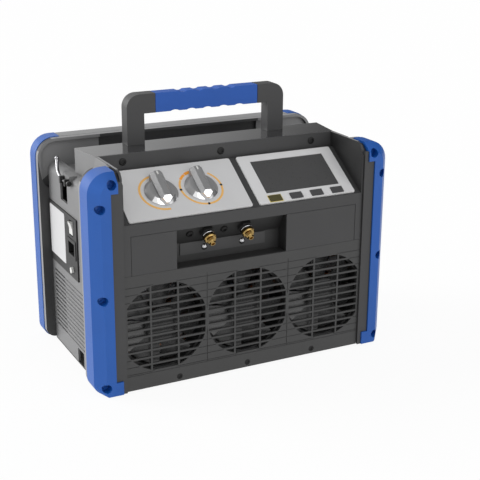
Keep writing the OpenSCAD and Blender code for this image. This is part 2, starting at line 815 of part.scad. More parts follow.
// Aluminium block with a seat for each valve stem and two sockets for the pipes
module valve_manifold() {
    color([0.7, 0.7, 0.72]) on_console() difference() {
        union() {
            slab(knob_xs[0] - 20, knob_xs[1] + 20, knob_t - 16, knob_t + 16, -manifold_top - manifold_h, -manifold_top);
            for (x = [knob_xs[0] - 14, knob_xs[1] + 14]) translate([x, knob_t, -manifold_top])
                cylinder(r = 5, h = manifold_top - wall);
        }
        for (x = knob_xs) translate([x, knob_t, -manifold_top - 18.5]) cylinder(r = stem_r + run, h = 30);
    }
}

// Puts a shape on the leaning wall of the port recess, with Z out of the wall
port_mid_z = (port_bend_z + port_z1) / 2 + 1;
port_mid_y = front_y + port_d - (port_mid_z - port_bend_z) * tan(port_lean);
module on_port(x) {
    translate([x, port_mid_y, port_mid_z]) rotate([90 + port_lean, 0, 0]) children();
}

// Side view of the port recess, grown outwards by t
module port_profile(t) {
    lean_y = (port_z1 - port_bend_z + t) * tan(port_lean);
    polygon([[front_y + wall, port_z0 - t], [front_y + port_d + t, port_z0 - t],
        [front_y + port_d + t, port_bend_z], [front_y + port_d + t - lean_y, port_z1 + t],
        [front_y + wall, port_z1 + t]]);
}

module port_tray() {
    t = 2.5;
    color(black) difference() {
        across(port_x0 - t, port_x1 + t) port_profile(t);
        difference() {
            across(port_x0, port_x1) port_profile(0);
            slab(port_x0 + 13.5, port_x1 - 21.5, front_y + port_d - 1.5, front_y + port_d, port_z0 + 9.5, port_bend_z - eps);
        }
        slab(port_x0, port_x1, front_y, front_y + wall + 1, port_z0, port_z1);
        for (x = port_screw_xs) on_port(x) translate([0, 0, -10]) cylinder(r = screw_r + run, h = 12);
        for (x = port_xs) {
            on_port(x) translate([0, 0, -10]) cylinder(r = 5 + gap, h = 20);
            rod_y(2 + run, x, port_z0 + 17, front_y + port_d - 5, front_y + port_d + 10);
        }
    }
}

// Black hexagon collars that clamp the ports to the recess wall
module port_collars() {
    color(black) for (x = port_xs) on_port(x) difference() {
        cylinder(r = 10.5, h = 5, $fn = 6);
        translate([0, 0, -1]) cylinder(r = 5 + run, h = 7);
    }
}

// A brass flare port: hexagon, barrel, thread and the flare seat at its tip
module port_fitting(x) {
    tip = 13 + flare_len;
    color(brass) on_port(x) difference() {
        union() {
            translate([0, 0, -port_tail]) cylinder(r = 5, h = port_tail + 6);
            translate([0, 0, 5]) rotate_extrude() polygon([[0, 0], [barrel_r - 1, 0], [barrel_r, 1], [barrel_r, 6.5],
                [barrel_r - 1.5, 8], [flare_r, 8], [flare_r, tip - 5], [flare_r - 1, tip - 5], [3.5, tip - 2],
                [0, tip - 2]]);
        }
        translate([0, 0, -10]) cylinder(r = 2.4, h = tip + 20);
    }
}

module inlet_port_fitting() port_fitting(port_xs[0]);
module outlet_port_fitting() port_fitting(port_xs[1]);

// Bright dome nuts on the lower wall of the recess
module port_dome_nuts() {
    y = front_y + port_d - 1.5;
    color(steel) for (x = port_xs) translate([x, y, port_z0 + 17]) rotate([90, 0, 0]) {
        rotate_extrude() intersection() {
            translate([0, -2]) circle(r = 5);
            square([5, 4]);
        }
        translate([0, 0, -8]) cylinder(r = 2, h = 9);
    }
}

// A fan frame with its motor base, axle and struts
module fan_frame(x) {
    back = fan_y + fan_d;
    color(black) difference() {
        union() {
            difference() {
                slab(x - fan_size / 2, x + fan_size / 2, fan_y, back, fan_z - fan_size / 2, fan_z + fan_size / 2);
                rod_y(fan_size / 2 - 2, x, fan_z, fan_y - 1, back + 1);
            }
            rod_y(hub_d / 2 - 1, x, fan_z, back - 4, back);
            for (a = [0 : 90 : 270]) translate([x, 0, fan_z]) rotate([0, a + 20, 0])
                slab(-2, 2, back - 4, back, hub_d / 2 - 2, fan_size / 2 - 1);
            rod_y(axle_r, x, fan_z, fan_y + 7, back);
        }
        for (sx = [-1, 1], sz = [-1, 1])
            rod_y(2.2, x + sx * (fan_size / 2 - 7), fan_z + sz * (fan_size / 2 - 7), fan_y - 1, back + 1);
    }
}

module fan_frame_left() fan_frame(fan_xs[0]);
module fan_frame_centre() fan_frame(fan_xs[1]);
module fan_frame_right() fan_frame(fan_xs[2]);

// A fan impeller: hub cup and pitched blades, with half the width of a blade at its root and tip
root_w = 9;
tip_w = 24;
blade_pitch = 21;
module fan_impeller(x) {
    y0 = fan_y + 2;
    y1 = fan_y + fan_d - 4.5;
    color(panel_grey) difference() {
        union() {
            rod_y(hub_d / 2, x, fan_z, y0, y1);
            intersection() {
                rod_y(fan_size / 2 - 3.5, x, fan_z, y0 + 1, y1 - 0.5);
                for (i = [0 : blade_count - 1]) translate([x, (y0 + y1) / 2, fan_z]) rotate([0, i * 360 / blade_count, 0])
                    rotate([90, 0, blade_pitch]) linear_extrude(1.8, center = true)
                        polygon([[-root_w, hub_d / 2 - 3], [root_w, hub_d / 2 - 3], [tip_w, fan_size / 2],
                            [-tip_w, fan_size / 2]]);
            }
        }
        rod_y(axle_r + run, x, fan_z, fan_y + 6.5, y1 + 1);
    }
}

module fan_impeller_left() fan_impeller(fan_xs[0]);
module fan_impeller_centre() fan_impeller(fan_xs[1]);
module fan_impeller_right() fan_impeller(fan_xs[2]);

// Condenser coil behind the fans
coil_y0 = fan_y + fan_d + 3;
coil_d = 30;
// Room beside the coil for the bends of its tubes
coil_margin = 31;
coil_x = cover_in - coil_margin;
coil_z0 = strip_top + 1;
coil_h = 118;
coil_rows = 4;
tube_r = 4;
coil_ys = [coil_y0 + coil_d / 4, coil_y0 + coil_d * 3 / 4];
function coil_z(i) = coil_z0 + coil_h * (i + 0.5) / coil_rows;

module coil_plate(x, t, margin) {
    difference() {
        slab(x, x + t, coil_y0 - margin, coil_y0 + coil_d + margin, coil_z0 - margin, coil_z0 + coil_h + margin);
        for (y = coil_ys, i = [0 : coil_rows - 1]) rod_x(tube_r + run, y, coil_z(i), x - 1, x + t + 1);
    }
}

module condenser_fins() {
    pitch = 11;
    count = floor(2 * (coil_x - 6) / pitch);
    color([0.75, 0.76, 0.78]) for (i = [0 : count]) coil_plate((i - count / 2) * pitch - 0.4, 0.8, 0);
}

// Serpentine copper tube: straight runs joined by bends at alternate ends
module condenser_tubes() {
    pitch = coil_h / coil_rows;
    end = coil_x + 4;
    color(copper) {
        for (y = coil_ys, i = [0 : coil_rows - 1]) rod_x(tube_r, y, coil_z(i), -end, end);
        for (y = coil_ys, i = [0 : coil_rows - 2]) {
            side = (i % 2 == 0) ? 1 : -1;
            translate([side * end, y, (coil_z(i) + coil_z(i + 1)) / 2]) rotate([90, 0, 0])
                rotate([0, 0, side > 0 ? -90 : 90]) rotate_extrude(angle = 180) translate([pitch / 2, 0]) circle(r = tube_r);
        }
    }
}

module condenser_end_plates() {
    color(steel) {
        coil_plate(coil_x, 1.5, 1);
        coil_plate(-coil_x - 1.5, 1.5, 1);
        both_sides() {
            slab(coil_x - 14, coil_x + 1.5, frame_back + gap, coil_y0 + coil_d + 1, base_z, base_z + 1.5);
            slab(coil_x, coil_x + 1.5, frame_back + gap, coil_y0 + coil_d + 1, base_z, coil_z0);
        }
    }
}

// Compressor: the motor lies along Y behind a crankcase with two opposed cylinders
case_d = 64;
case_y1 = rear_y - motor_len + 14;
case_y0 = case_y1 - case_d;
case_half = 44;
motor_y1 = case_y1 + motor_len;

module motor_housing() {
    color(black) difference() {
        union() {
            rod_y(motor_d / 2, 0, motor_z, case_y1, motor_y1);
            for (a = [0 : 20 : 340]) translate([0, 0, motor_z]) rotate([0, a, 0])
                slab(-1.2, 1.2, case_y1 + 6, motor_y1 - 6, motor_d / 2 - 2, motor_d / 2 + 4);
            both_sides() slab(26, 40, case_y1, rear_y - gap, base_z, motor_z - 30);
        }
        rod_y(motor_d / 2 - 6, 0, motor_z, case_y1 + 6, motor_y1 - 6);
        rod_y(shaft_r + run, 0, motor_z, case_y1 - 1, motor_y1 - 3);
    }
}

// Rotor on its shaft, with the crank disc inside the crankcase
module motor_rotor() {
    color(steel) {
        rod_y(shaft_r, 0, motor_z, case_y0 + 12, motor_y1 - 3.5);
        rod_y(motor_d / 2 - 20, 0, motor_z, case_y1 + 14, motor_y1 - 14);
        rod_y(24, 0, motor_z, case_y0 + 14, case_y0 + 24);
    }
}

module crankcase() {
    color([0.7, 0.7, 0.72]) difference() {
        union() {
            slab(-case_half, case_half, case_y0, case_y1, motor_z - case_half, motor_z + case_half);
            both_sides() slab(20, 40, case_y0, case_y1, base_z, motor_z - case_half + 1);
        }
        rod_y(30, 0, motor_z, case_y0 + 8, case_y1 - 10);
        rod_y(shaft_r + run, 0, motor_z, case_y0 + 11, case_y1 + 1);
    }
}

// Finned cylinder barrels, one on each side of the crankcase
module cylinders() {
    y = (case_y0 + case_y1) / 2;
    color([0.7, 0.7, 0.72]) both_sides() difference() {
        union() {
            rod_x(cylinder_d / 2 + 4, y, motor_z, case_half, case_half + cylinder_len);
            for (i = [0 : 4]) rod_x(cylinder_d / 2 + 5.5, y, motor_z, case_half + 6 + i * 8, case_half + 9 + i * 8);
        }
        rod_x(cylinder_d / 2, y, motor_z, case_half + 6, case_half + cylinder_len + 1);
    }
}

module cylinder_heads() {
    y = (case_y0 + case_y1) / 2;
    x0 = case_half + cylinder_len;
    color(steel) both_sides() difference() {
        slab(x0, x0 + 18, y - cylinder_d / 2 - 4, y + cylinder_d / 2 + 4, motor_z - cylinder_d / 2 - 4, motor_z + cylinder_d / 2 + 4);
        for (i = [0 : 3]) slab(x0 + 6, x0 + 20, y - 24 + i * 14, y - 18 + i * 14, 0, deck_z);
    }
}

// Pipe from the inlet port behind the recess down to the left cylinder head
head_x = case_half + cylinder_len + 3;
head_z = motor_z + cylinder_d / 2 + 4;
head_y = (case_y0 + case_y1) / 2;
pipe_r = 4;

// Direction of a port's tail and the point where its pipe turns
port_in = [0, cos(port_lean), sin(port_lean)];
port_tail = 9;
function port_end(x, l) = [x, port_mid_y, port_mid_z] + l * port_in;

module suction_pipe() {
    turn = port_end(port_xs[0], port_tail + 13);
    color(copper) pipe(pipe_r, [port_end(port_xs[0], port_tail), turn, [-head_x, head_y, turn[2]],
        [-head_x, head_y, head_z]]);
}

// Pipe from the right cylinder head to the condenser, and the return pipe from there to the outlet port
module discharge_pipes() {
    z = head_z + 36;
    x = coil_x - 11.5;
    coil_top = coil_z0 + coil_h + gap;
    turn = port_end(port_xs[1], port_tail + 13);
    color(copper) {
        pipe(pipe_r, [[head_x, head_y, head_z], [head_x, head_y, z], [x, coil_ys[1], z], [x, coil_ys[1], coil_top]]);
        pipe(pipe_r, [port_end(port_xs[1], port_tail), turn, [x - 20, coil_ys[0], turn[2]],
            [x - 20, coil_ys[0], coil_top]]);
    }
}

// Power panel on the left side: a plate with the mains inlet, switch and breaker
inlet_y = power_y0 + 20;
inlet_z = panel_z0 + 41;
switch_z = panel_z1 - 16;
breaker_z = panel_z0 + 11;

module power_panel() {
    t = 2;
    color(black) difference() {
        union() {
            slab(-cover_x - t, -cover_x, power_y0, power_y1, panel_z0, panel_z1);
            slab(-cover_x, -cover_in, power_y0 + 5 + gap, power_y1 - 5 - gap, panel_z0 + 5 + gap, panel_z1 - 5 - gap);
        }
        slab(-cover_x - 5, 0, inlet_y - 14, inlet_y + 14, inlet_z - 11, inlet_z + 11);
        slab(-cover_x - 5, 0, inlet_y - 7, inlet_y + 7, switch_z - 10.5, switch_z + 10.5);
        rod_x(4 + gap, inlet_y, breaker_z, -cover_x - 5, 0);
    }
    color(steel) rod_y(1.5, -cover_x + 1.5, switch_z, inlet_y - 7, inlet_y + 7);
}

// Mains inlet: a shrouded socket with three flat pins
module inlet_socket() {
    x0 = -cover_x - 3;
    color(black) {
        difference() {
            union() {
                slab(x0, -cover_x - 2, inlet_y - 16, inlet_y + 16, inlet_z - 13, inlet_z + 13);
                slab(-cover_x - 2.1, -cover_x + 22, inlet_y - 14 + gap, inlet_y + 14 - gap, inlet_z - 11 + gap, inlet_z + 11 - gap);
            }
            slab(x0 - 1, -cover_x + 18, inlet_y - 11.5, inlet_y + 11.5, inlet_z - 8.5, inlet_z + 8.5);
        }
        for (p = [[-7, -2.5], [0, 2.5], [7, -2.5]])
            slab(-cover_x + 7, -cover_x + 19, inlet_y + p[0] - 1, inlet_y + p[0] + 1, inlet_z + p[1] - 2, inlet_z + p[1] + 2);
    }
}

// Rocker switch in the power panel, on a pivot along Y, with its lower half pressed in
module power_switch() {
    color([0.85, 0.85, 0.85]) translate([-cover_x + 3, inlet_y + 6.5, switch_z]) rotate([90, 0, 0]) difference() {
        linear_extrude(13) polygon([[1, -7], [-5.5, -8.4], [-5.8, 0], [-8, 8.4], [1, 7]]);
        translate([-1.5, 0, -1]) cylinder(r = 1.5 + run, h = 15);
    }
}

module breaker_button() {
    color([0.85, 0.85, 0.85]) {
        rod_x(4, inlet_y, breaker_z, -cover_x - 5, -cover_in);
        rod_x(5.5, inlet_y, breaker_z, -cover_in, -cover_in + 3);
    }
}

// Strap hook: a bent wire that pivots along Y beside the shoulder
hook_y0 = front_y + 114;
hook_x = cover_x + 3.5;
hook_block_w = 26;
hook_cap = 4;

module strap_hook() {
    wire = [[hook_x, hook_y0, hook_z], [hook_x, hook_y0 + hook_block_w + 5, hook_z], [hook_x - 1, hook_y0 + 45, hook_z + 6],
        [hook_x - 4, hook_y0 + 56, hook_z + 20]];
    color(steel) {
        pipe(hook_r, wire);
        rod_y(hook_r + 1.2, hook_x, hook_z, hook_y0 - hook_cap, hook_y0);
    }
}

module strap_hook_right() strap_hook();
module strap_hook_left() mirror([1, 0, 0]) strap_hook();

// Saddles on the shoulders, each with two lugs that hold a hook
lug = 4;
module strap_hook_brackets() {
    y0 = hook_y0 + 3;
    y1 = y0 + hook_block_w - 3;
    color(black) both_sides() difference() {
        union() {
            slab(cover_x - 9, cover_x + 0.8, y0, y1, hook_z - 4.5, hook_z + 8);
            for (y = [y0, y1 - lug]) slab(cover_x - 1, cover_x + 7.5, y, y + lug, hook_z - 4.5, hook_z + 4.5);
        }
        rod_y(shoulder_r + run, cover_x - shoulder_r, shoulder_z - shoulder_r, y0 - 1, y1 + 1);
        rod_y(hook_r + run, hook_x, hook_z, y0 - 1, y1 + 1);
    }
}

// Drive board with its two large capacitors, standing beside the motor
board_t = 1.6;
board_h = 150;
cap_r = 12;
module control_board() {
    x = coil_x - 16;
    y0 = case_y0 + 9;
    y1 = rear_y - 15;
    color([0.05, 0.3, 0.15]) {
        slab(x, x + board_t, y0, y1, base_z, base_z + board_h);
        for (y = [y0 + 2 * cap_r, y0 + 5 * cap_r])
            rod_x(cap_r, y, base_z + board_h * 3 / 4, x + board_t, cover_in - 11);
    }
}

base_plate();
rubber_feet();
front_frame();
front_grille();
rear_frame();
rear_grille();
top_cover();
side_cover_left();
side_cover_right();
guard_front_left();
guard_front_right();
guard_rear_left();
guard_rear_right();
guard_screws();
front_screws();
handle_frame();
handle_grip();
handle_bolts();
valve_panel();
display_panel();
lcd_screen();
display_board();
button_menu();
button_up();
button_down();
button_start();
inlet_knob();
outlet_knob();
inlet_valve_stem();
outlet_valve_stem();
valve_manifold();
port_tray();
port_collars();
inlet_port_fitting();
outlet_port_fitting();
port_dome_nuts();
fan_frame_left();
fan_frame_centre();
fan_frame_right();
fan_impeller_left();
fan_impeller_centre();
fan_impeller_right();
condenser_fins();
condenser_tubes();
condenser_end_plates();
motor_housing();
motor_rotor();
crankcase();
cylinders();
cylinder_heads();
suction_pipe();
discharge_pipes();
power_panel();
inlet_socket();
power_switch();
breaker_button();
strap_hook_left();
strap_hook_right();
strap_hook_brackets();
control_board();
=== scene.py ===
import bpy
import json
import math
from mathutils import Matrix, Vector

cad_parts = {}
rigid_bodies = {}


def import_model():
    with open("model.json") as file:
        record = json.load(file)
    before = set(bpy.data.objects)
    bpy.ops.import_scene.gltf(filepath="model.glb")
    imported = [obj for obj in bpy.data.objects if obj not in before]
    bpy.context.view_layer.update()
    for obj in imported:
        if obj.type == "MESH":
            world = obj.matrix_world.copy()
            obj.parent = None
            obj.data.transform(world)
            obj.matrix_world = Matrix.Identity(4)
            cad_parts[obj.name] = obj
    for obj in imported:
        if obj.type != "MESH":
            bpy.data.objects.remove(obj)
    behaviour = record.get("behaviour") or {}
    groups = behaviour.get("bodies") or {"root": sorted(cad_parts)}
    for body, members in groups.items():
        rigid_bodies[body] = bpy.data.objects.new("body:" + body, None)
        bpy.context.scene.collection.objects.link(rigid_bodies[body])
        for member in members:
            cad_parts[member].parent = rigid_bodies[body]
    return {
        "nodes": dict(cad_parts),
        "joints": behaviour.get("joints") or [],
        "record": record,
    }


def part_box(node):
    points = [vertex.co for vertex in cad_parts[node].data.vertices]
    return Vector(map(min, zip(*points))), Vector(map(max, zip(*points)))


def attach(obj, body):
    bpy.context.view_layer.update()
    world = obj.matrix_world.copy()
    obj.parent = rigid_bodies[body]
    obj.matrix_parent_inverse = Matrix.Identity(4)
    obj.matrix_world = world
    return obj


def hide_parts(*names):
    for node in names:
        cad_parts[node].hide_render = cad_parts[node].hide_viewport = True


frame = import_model()
nodes = frame["nodes"]
joints = {row["name"]: row for row in frame["joints"]}
mounts = {row["name"]: row for row in frame["record"]["mounts"]}
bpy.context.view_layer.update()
MM = 0.001

# Places of the pieces, in millimetres. The frame gives metres.
VALVES = ("inlet", "outlet")
PLATE_TOP = 2.0
KNOB_SEAT = 2.3
PORT_REACH = 18
STRIP_Y = -37.0


def moved(x, y, z):
    """A shift in millimetres."""
    return Matrix.Translation((x * MM, y * MM, z * MM))


def frame_place(row):
    """The place of a joint or a mount, its Z along the axis, for an axis square to the machine's width."""
    lean = math.atan2(-row["axis"][1], row["axis"][2])
    return Matrix.Translation(row["pos_m"]) @ Matrix.Rotation(lean, 4, "X")


def valve_place(valve, out):
    """A place on the axis of a valve's knob, out from the slope of the console."""
    return frame_place(joints[valve + "_knob_turn"]) @ moved(0, 0, out)


def console_middle():
    """The middle of the console, level with the knobs: X across, Y up the slope and Z out of it."""
    middle = valve_place("inlet", 0)
    middle.translation.x = 0
    return middle


def port_place(x):
    """A place on the leaning wall of the port recess, its Z along the ports."""
    wall = frame_place(mounts["inlet_port"]) @ moved(0, 0, -PORT_REACH)
    wall.translation.x = x * MM
    return wall


def facing(x, y, z, yaw=0):
    """A place whose Z looks out of the front, turned round the machine by yaw degrees."""
    round_machine = Matrix.Rotation(math.radians(yaw), 4, "Z")
    forward = Matrix.Rotation(math.pi / 2, 4, "X")
    return round_machine @ moved(x, y, z) @ forward


# Finishes
CLOUD_SCALE = 18.0
GRAIN_DEPTH = 0.3
ROUGHNESS_SPREAD = 0.08


def finish(name, colour, rough, metal=0.0, sheen=0.5, spread=0.08, grain=700.0, bump=0.1):
    """Two close tones in soft clouds, with a fine grain in the roughness and the surface."""
    made = bpy.data.materials.new(name)
    made.use_nodes = True
    tree = made.node_tree
    skin = tree.nodes["Principled BSDF"]
    place = tree.nodes.new("ShaderNodeTexCoord")
    soft = tree.nodes.new("ShaderNodeTexNoise")
    soft.inputs["Scale"].default_value = CLOUD_SCALE
    soft.inputs["Detail"].default_value = 5.0
    tones = tree.nodes.new("ShaderNodeValToRGB")
    darker, full = tones.color_ramp.elements
    darker.position = 0.3
    darker.color = (*(c * (1 - spread) for c in colour), 1)
    full.position = 0.7
    full.color = (*colour, 1)
    fine = tree.nodes.new("ShaderNodeTexNoise")
    fine.inputs["Scale"].default_value = grain
    fine.inputs["Detail"].default_value = 3.0
    level = tree.nodes.new("ShaderNodeMapRange")
    level.inputs["To Min"].default_value = max(rough - ROUGHNESS_SPREAD, 0.02)
    level.inputs["To Max"].default_value = min(rough + ROUGHNESS_SPREAD, 1.0)
    dents = tree.nodes.new("ShaderNodeBump")
    dents.inputs["Strength"].default_value = bump
    dents.inputs["Distance"].default_value = GRAIN_DEPTH * MM
    join = tree.links.new
    join(place.outputs["Object"], soft.inputs["Vector"])
    join(place.outputs["Object"], fine.inputs["Vector"])
    join(soft.outputs["Fac"], tones.inputs["Fac"])
    join(tones.outputs["Color"], skin.inputs["Base Color"])
    join(fine.outputs["Fac"], level.inputs["Value"])
    join(level.outputs["Result"], skin.inputs["Roughness"])
    join(fine.outputs["Fac"], dents.inputs["Height"])
    join(dents.outputs["Normal"], skin.inputs["Normal"])
    skin.inputs["Metallic"].default_value = metal
    skin.inputs["Specular IOR Level"].default_value = sheen
    return made


FINISH = {
    "shell": finish("dark moulded plastic", (0.038, 0.038, 0.039), 0.5),
    # cover: the covers' own mid grey, also used as painted light on the rear frame's wall beside the scoop
    "cover": finish("mid grey moulded plastic and painted light", (0.20, 0.20, 0.202), 0.5),
    # rim: a light tone that stands for the light on the frames' upward lips and on the rear bar, a painted
    # highlight
    "rim": finish("rim plastic with painted highlight", (0.265, 0.265, 0.267), 0.5),
    "deck": finish("glossy deck plastic", (0.03, 0.03, 0.031), 0.09, sheen=0.75, bump=0.0),
    "fan": finish("black fan plastic", (0.034, 0.034, 0.034), 0.26),
    "grille": finish("grille plastic", (0.040, 0.040, 0.040), 0.5),
    "guard": finish("blue guard plastic", (0.005, 0.088, 0.39), 0.45),
    "grip": finish("blue soft grip", (0.008, 0.085, 0.40), 0.6, grain=1200, bump=0.2),
    "plate": finish("light console print", (0.60, 0.60, 0.605), 0.45, spread=0.03),
    "display_plate": finish("pale display print", (0.66, 0.66, 0.665), 0.45, spread=0.03),
    "button": finish("dark button rubber", (0.055, 0.055, 0.057), 0.55),
    "olive": finish("olive button rubber", (0.065, 0.056, 0.016), 0.55),
    # recess: the port tray's own dark plastic, and painted shade on the cheeks' sides by the console
    "recess": finish("dark tray plastic and painted shade", (0.017, 0.017, 0.017), 0.5),
    "black_plastic": finish("black moulded plastic", (0.010, 0.010, 0.010), 0.5),
    "white_plastic": finish("white moulded plastic", (0.70, 0.70, 0.68), 0.4),
    "base": finish("black painted steel", (0.014, 0.014, 0.014), 0.5),
    "rubber": finish("black rubber", (0.015, 0.015, 0.015), 0.8),
    "screen": finish("dark display window", (0.072, 0.072, 0.073), 0.3, bump=0.0),
    "board": finish("green circuit board", (0.01, 0.09, 0.03), 0.4),
    "knob": finish("satin silver", (0.27, 0.27, 0.273), 0.38, metal=0.2, grain=400),
    "steel": finish("brushed steel", (0.55, 0.56, 0.58), 0.3, metal=1.0),
    "dark_steel": finish("black screw steel", (0.008, 0.008, 0.008), 0.55, sheen=0.3),
    "chrome": finish("polished chrome", (0.34, 0.34, 0.35), 0.1, metal=1.0, bump=0.0),
    "brass": finish("bright brass", (0.37, 0.25, 0.09), 0.2, metal=1.0),
    "copper": finish("copper tube", (0.60, 0.28, 0.14), 0.25, metal=1.0),
    # bright: a near white chrome for the knob faces that look down the slope, a painted reflection
    "bright": finish("knob rim painted reflection", (0.85, 0.85, 0.86), 0.12, metal=0.9, bump=0.0),
    "orange": finish("orange print", (0.84, 0.47, 0.13), 0.5),
    "deep_orange": finish("deep orange print", (0.92, 0.36, 0.03), 0.5),
    "gold": finish("gold print", (0.65, 0.52, 0.15), 0.5),
    "nut": finish("dark polished nut", (0.45, 0.45, 0.46), 0.12, metal=1.0, bump=0.0),
    "alloy": finish("cast alloy", (0.48, 0.48, 0.50), 0.5, metal=0.9),
}
OWN_FINISH = {
    "display_panel": "display_plate",
    "button_menu": "olive",
    "port_dome_nuts": "nut",
    "port_tray": "recess",
    "power_panel": "black_plastic",
}
for place in ("left", "centre", "right"):
    OWN_FINISH["fan_impeller_" + place] = "fan"
for use in ("up", "down", "start"):
    OWN_FINISH["button_" + use] = "button"
for row in frame["record"]["subparts"]:
    mesh = nodes[row["node"]].data
    mesh.materials.clear()
    mesh.materials.append(FINISH[OWN_FINISH.get(row["node"], row["material_slot"])])


# Modelling helpers
def clear():
    """Leaves edit mode, with nothing selected."""
    if bpy.context.mode != "OBJECT":
        bpy.ops.object.mode_set(mode="OBJECT")
    bpy.ops.object.select_all(action="DESELECT")


def activate(obj):
    """Selects one piece alone."""
    clear()
    obj.select_set(True)
    bpy.context.view_layer.objects.active = obj


def everything(c, n):
    return True


def facing_up(c, n):
    return n.z > 0.9


def facing_down(c, n):
    return n.z < -0.9


def choose(obj, kind, test):
    """Opens a piece in edit mode with only the faces, edges or points that pass the test selected."""
    activate(obj)
    bpy.ops.object.mode_set(mode="EDIT")
    bpy.ops.mesh.select_mode(type=kind)
    bpy.ops.mesh.select_all(action="DESELECT")
    bpy.ops.object.mode_set(mode="OBJECT")
    mesh = obj.data
    if kind == "FACE":
        for face in mesh.polygons:
            face.select = test(face.center / MM, face.normal)
    elif kind == "EDGE":
        for edge in mesh.edges:
            a, b = (mesh.vertices[i].co for i in edge.vertices)
            edge.select = test((a + b) / 2 / MM, b - a)
    else:
        for point in mesh.vertices:
            point.select = test(point.co / MM)
    bpy.ops.object.mode_set(mode="EDIT")


def settle(obj, place=None):
    """Moves a piece to its place and puts that place into its mesh."""
    activate(obj)
    if place is not None:
        obj.matrix_world = place @ obj.matrix_world
    bpy.ops.object.transform_apply(location=True, rotation=True, scale=True)
    return obj


def copies(piece, places):
    """A finished piece moved to the first place, and its copies, each with its own mesh, at the others."""
    made = [piece]
    for place in places[1:]:
        activate(piece)
        bpy.ops.object.duplicate()
        made.append(settle(bpy.context.object, place))
    settle(piece, places[0])
    return made


def outward(obj):
    """Turns all faces outwards."""
    choose(obj, "FACE", everything)
    bpy.ops.mesh.normals_make_consistent(inside=False)
    bpy.ops.object.mode_set(mode="OBJECT")


def smooth(obj, angle=35):
    """Shades a piece smooth, apart from its edges sharper than an angle."""
    activate(obj)
    bpy.ops.object.shade_smooth_by_angle(angle=math.radians(angle))


def round_edges(obj, width, segments=2, angle=30):
    """Rounds the edges and keeps the shading of the flat faces between them even."""
    edge = obj.modifiers.new("round", "BEVEL")
    edge.width = width * MM
    edge.segments = segments
    edge.limit_method = "ANGLE"
    edge.angle_limit = math.radians(angle)
    edge.face_strength_mode = "FSTR_ALL"
    activate(obj)
    bpy.ops.object.modifier_apply(modifier="round")
    smooth(obj)
    even = obj.modifiers.new("even", "WEIGHTED_NORMAL")
    even.keep_sharp = True
    even.use_face_influence = True
    bpy.ops.object.modifier_apply(modifier="even")


def paint(obj, tone):
    """Gives a whole piece one finish."""
    obj.data.materials.clear()
    obj.data.materials.append(FINISH[tone])


def mark_faces(obj, tone, marked):
    """Gives the faces that pass a test a finish of their own."""
    slots = obj.data.materials
    slots.append(FINISH[tone])
    for face in obj.data.polygons:
        if marked(face.center / MM, face.normal):
            face.material_index = len(slots) - 1


def join_up(name, parts):
    """Joins parts into one piece."""
    activate(parts[0])
    for part in parts[1:]:
        part.select_set(True)
    if len(parts) > 1:
        bpy.ops.object.join()
    parts[0].name = name
    return parts[0]


def block(name, xs, ys, zs):
    """A box between two places along each axis."""
    spans = (xs, ys, zs)
    middle = [(low + high) / 2 * MM for low, high in spans]
    clear()
    bpy.ops.mesh.primitive_cube_add(size=1, location=middle)
    made = bpy.context.object
    made.name = name
    made.scale = [(high - low) * MM for low, high in spans]
    return settle(made)


def inset_top(obj, rim, rise):
    """Insets the top of a piece and raises what the inset leaves."""
    choose(obj, "FACE", facing_up)
    bpy.ops.mesh.inset(thickness=rim * MM, depth=rise * MM)
    bpy.ops.object.mode_set(mode="OBJECT")


def cut(obj, point, normal):
    """Cuts away what lies beyond a plane and closes the cut."""
    choose(obj, "FACE", everything)
    bpy.ops.mesh.bisect(plane_co=Vector(point) * MM, plane_no=normal, use_fill=True, clear_outer=True)
    bpy.ops.object.mode_set(mode="OBJECT")


def turned(name, profile, sides=48):
    """A disc drawn up along Z through a list of radius and height."""
    clear()
    r, z = profile[0]
    start = (0, 0, z * MM)
    bpy.ops.mesh.primitive_circle_add(vertices=sides, radius=r * MM, fill_type="NGON", location=start)
    made = bpy.context.object
    made.name = name
    settle(made)
    bpy.ops.object.mode_set(mode="EDIT")
    bpy.ops.mesh.select_all(action="SELECT")
    for (r0, z0), (r1, z1) in zip(profile, profile[1:]):
        bpy.ops.mesh.extrude_region_move(TRANSFORM_OT_translate={"value": (0, 0, (z1 - z0) * MM)})
        bpy.ops.transform.resize(value=(r1 / r0, r1 / r0, 1), center_override=(0, 0, z1 * MM))
    bpy.ops.object.mode_set(mode="OBJECT")
    outward(made)
    return made


def cad_copy(name, node):
    """A copy of a CAD node with its loose triangles merged, open in edit mode with all of it selected."""
    activate(nodes[node])
    bpy.ops.object.duplicate()
    made = bpy.context.object
    bpy.ops.object.parent_clear(type="CLEAR_KEEP_TRANSFORM")
    made.name = name
    choose(made, "FACE", everything)
    bpy.ops.mesh.remove_doubles(threshold=0.002 * MM)
    return made


def softened(node, width, segments=2, angle=30, splits=()):
    """A copy of a CAD node with rounded edges, which stands for the node. Splits are planes across X."""
    made = cad_copy("soft_" + node, node)
    for x in splits:
        bpy.ops.mesh.select_all(action="SELECT")
        bpy.ops.mesh.bisect(plane_co=(x * MM, 0, 0), plane_no=(1, 0, 0))
    bpy.ops.object.mode_set(mode="OBJECT")
    round_edges(made, width, segments, angle)
    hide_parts(node)
    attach(made, "case")
    return made


# Handle and corner guards
softened("handle_frame", width=2.5, segments=4)
softened("handle_grip", width=1.5, segments=3)
for corner in ("guard_front_left", "guard_front_right", "guard_rear_left", "guard_rear_right"):
    softened(corner, width=0.9, segments=3, angle=25)

